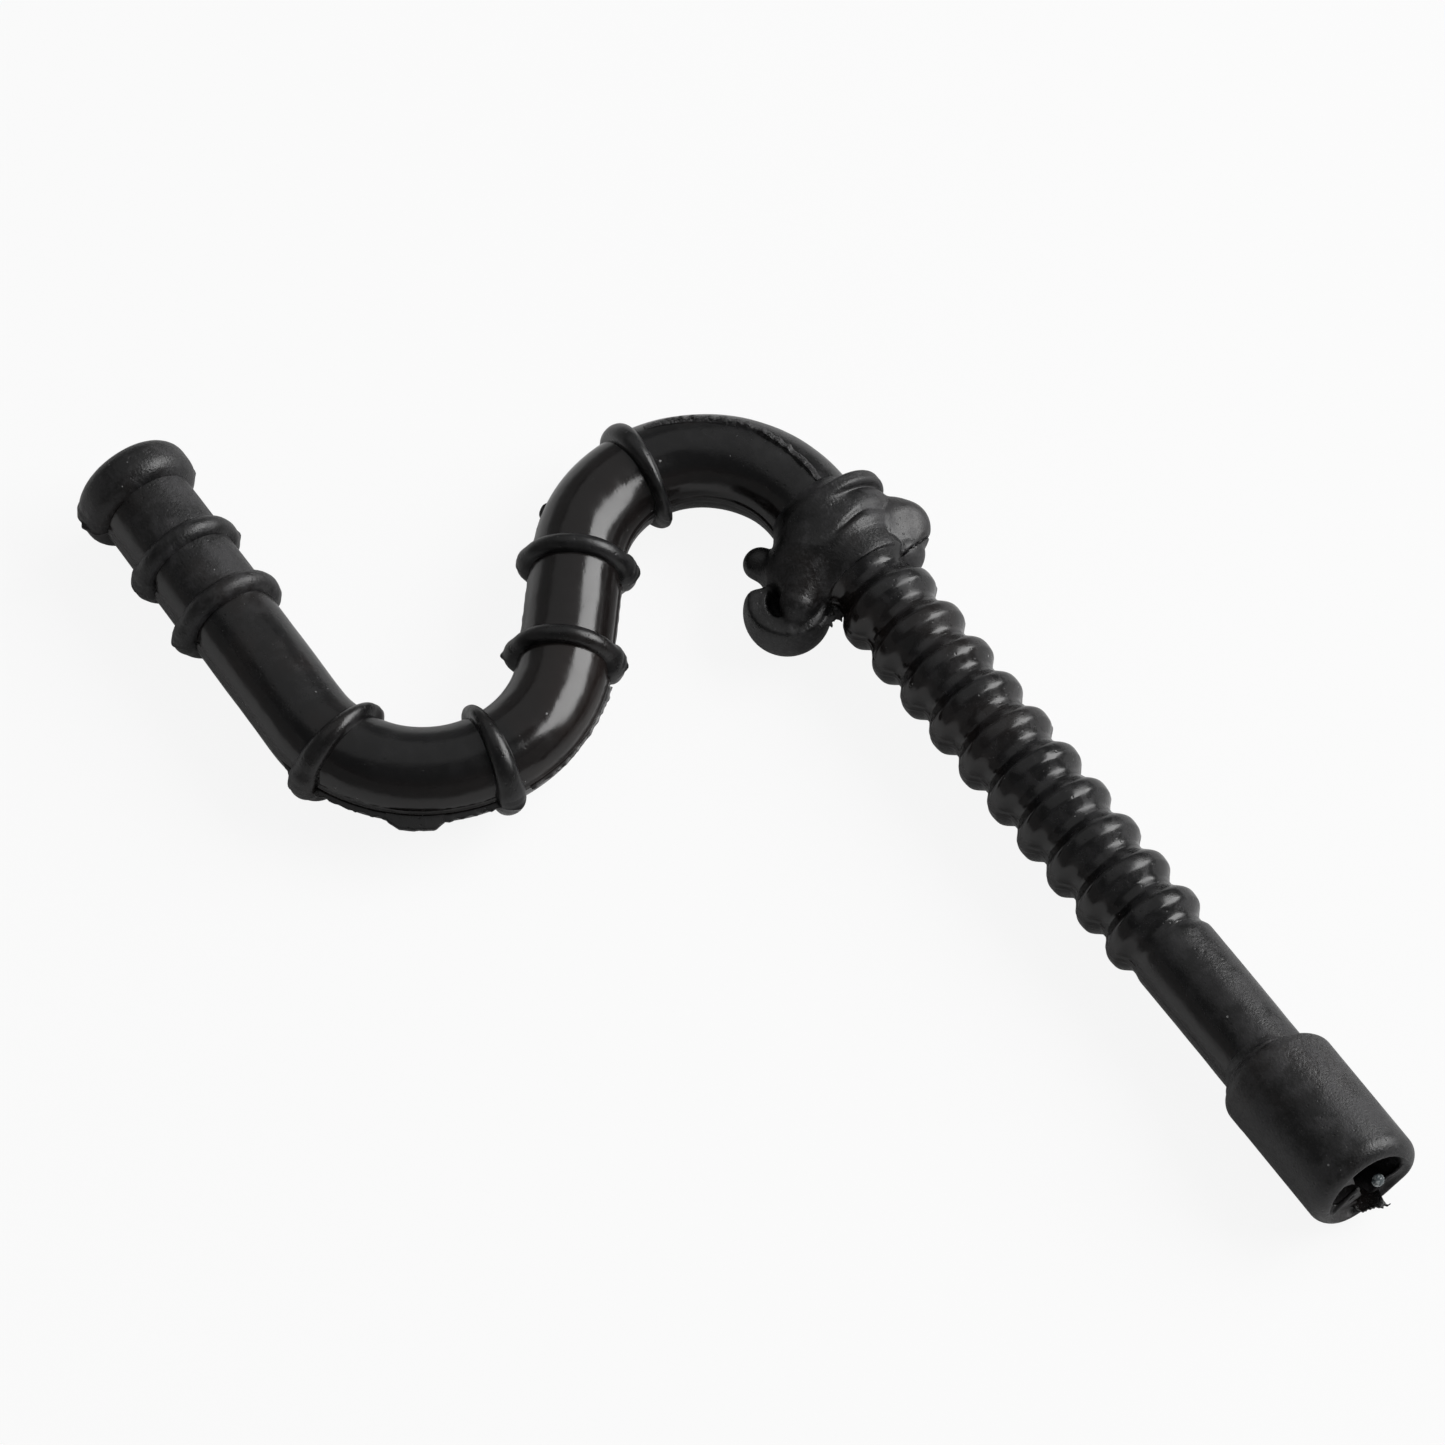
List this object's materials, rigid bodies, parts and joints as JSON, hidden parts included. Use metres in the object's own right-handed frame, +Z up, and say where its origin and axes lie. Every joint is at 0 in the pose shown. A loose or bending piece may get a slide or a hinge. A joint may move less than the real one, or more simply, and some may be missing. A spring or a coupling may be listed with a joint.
{
  "type": "fuel hose",
  "caption": "Moulded rubber fuel hose: collared mouth, two flat bends with raised ribs, a tank grommet with cupped ears, a folding bellows and a pickup cuff.",
  "frame": {"origin": "on the hose axis, in the middle of the grommet's tank-wall groove", "axes": "+X along the tank leg towards the pickup cuff; both bends lie in the XY plane, with the mouth leg on the -Y side; +Z up from the plane the hose lies in"},
  "size_m": [0.1376, 0.0704, 0.0126],
  "materials": {
    "rubber_bloomed": "matte, with grey bloom, pits and specks",
    "rubber_skin": "satin moulded skin with soft highlights",
    "rubber_bellows": "satin ridges over darker valleys"
  },
  "bodies": {
    "hose_body": {"mouth_collar": "rubber_bloomed", "neck_tube": "rubber_bloomed", "neck_rib_1": "rubber_bloomed", "neck_rib_2": "rubber_bloomed", "mouth_leg_tube": "rubber_skin", "lower_bend_tube": "rubber_skin", "lower_bend_rib_1": "rubber_skin", "lower_bend_rib_2": "rubber_skin", "crossover_tube": "rubber_skin", "crossover_rib_1": "rubber_skin", "crossover_rib_2": "rubber_skin", "arch_tube": "rubber_skin", "arch_rib_1": "rubber_skin", "grommet_outer_flange": "rubber_bloomed", "grommet_barrel": "rubber_bloomed", "grommet_inner_flange": "rubber_bloomed", "bellows_fixed_ring": "rubber_bellows"},
    "ring_01": {"bellows_ring_01": "rubber_bellows"},
    "ring_02": {"bellows_ring_02": "rubber_bellows"},
    "ring_03": {"bellows_ring_03": "rubber_bellows"},
    "ring_04": {"bellows_ring_04": "rubber_bellows"},
    "ring_05": {"bellows_ring_05": "rubber_bellows"},
    "ring_06": {"bellows_ring_06": "rubber_bellows"},
    "ring_07": {"bellows_ring_07": "rubber_bellows"},
    "ring_08": {"bellows_ring_08": "rubber_bellows"},
    "ring_09": {"bellows_ring_09": "rubber_bellows"},
    "ring_10": {"bellows_ring_10": "rubber_bellows"},
    "tail": {"tail_tube": "rubber_bloomed", "pickup_cuff": "rubber_bloomed"}
  },
  "joints": [
    {"name": "sideways_fold_1", "type": "hinge", "parent": "hose_body", "child": "ring_01", "pos_m": [0.00778, 0, 0], "axis": [0, 0, 1], "range_deg": [-8, 8], "stiffness_Nm_per_rad": 0.15},
    {"name": "upright_fold_1", "type": "hinge", "parent": "ring_01", "child": "ring_02", "pos_m": [0.01277, 0, 0], "axis": [0, 1, 0], "range_deg": [-8, 8], "stiffness_Nm_per_rad": 0.125},
    {"name": "sideways_fold_2", "type": "hinge", "parent": "ring_02", "child": "ring_03", "pos_m": [0.01776, 0, 0], "axis": [0, 0, 1], "range_deg": [-8, 8], "stiffness_Nm_per_rad": 0.15},
    {"name": "upright_fold_2", "type": "hinge", "parent": "ring_03", "child": "ring_04", "pos_m": [0.02275, 0, 0], "axis": [0, 1, 0], "range_deg": [-8, 8], "stiffness_Nm_per_rad": 0.125},
    {"name": "sideways_fold_3", "type": "hinge", "parent": "ring_04", "child": "ring_05", "pos_m": [0.02774, 0, 0], "axis": [0, 0, 1], "range_deg": [-8, 8], "stiffness_Nm_per_rad": 0.15},
    {"name": "upright_fold_3", "type": "hinge", "parent": "ring_05", "child": "ring_06", "pos_m": [0.03273, 0, 0], "axis": [0, 1, 0], "range_deg": [-8, 8], "stiffness_Nm_per_rad": 0.125},
    {"name": "sideways_fold_4", "type": "hinge", "parent": "ring_06", "child": "ring_07", "pos_m": [0.03772, 0, 0], "axis": [0, 0, 1], "range_deg": [-8, 8], "stiffness_Nm_per_rad": 0.15},
    {"name": "upright_fold_4", "type": "hinge", "parent": "ring_07", "child": "ring_08", "pos_m": [0.04271, 0, 0], "axis": [0, 1, 0], "range_deg": [-8, 8], "stiffness_Nm_per_rad": 0.125},
    {"name": "sideways_fold_5", "type": "hinge", "parent": "ring_08", "child": "ring_09", "pos_m": [0.0477, 0, 0], "axis": [0, 0, 1], "range_deg": [-8, 8], "stiffness_Nm_per_rad": 0.15},
    {"name": "upright_fold_5", "type": "hinge", "parent": "ring_09", "child": "ring_10", "pos_m": [0.05269, 0, 0], "axis": [0, 1, 0], "range_deg": [-8, 8], "stiffness_Nm_per_rad": 0.125},
    {"name": "sideways_fold_6", "type": "hinge", "parent": "ring_10", "child": "tail", "pos_m": [0.05768, 0, 0], "axis": [0, 0, 1], "range_deg": [-8, 8], "stiffness_Nm_per_rad": 0.15}
  ]
}
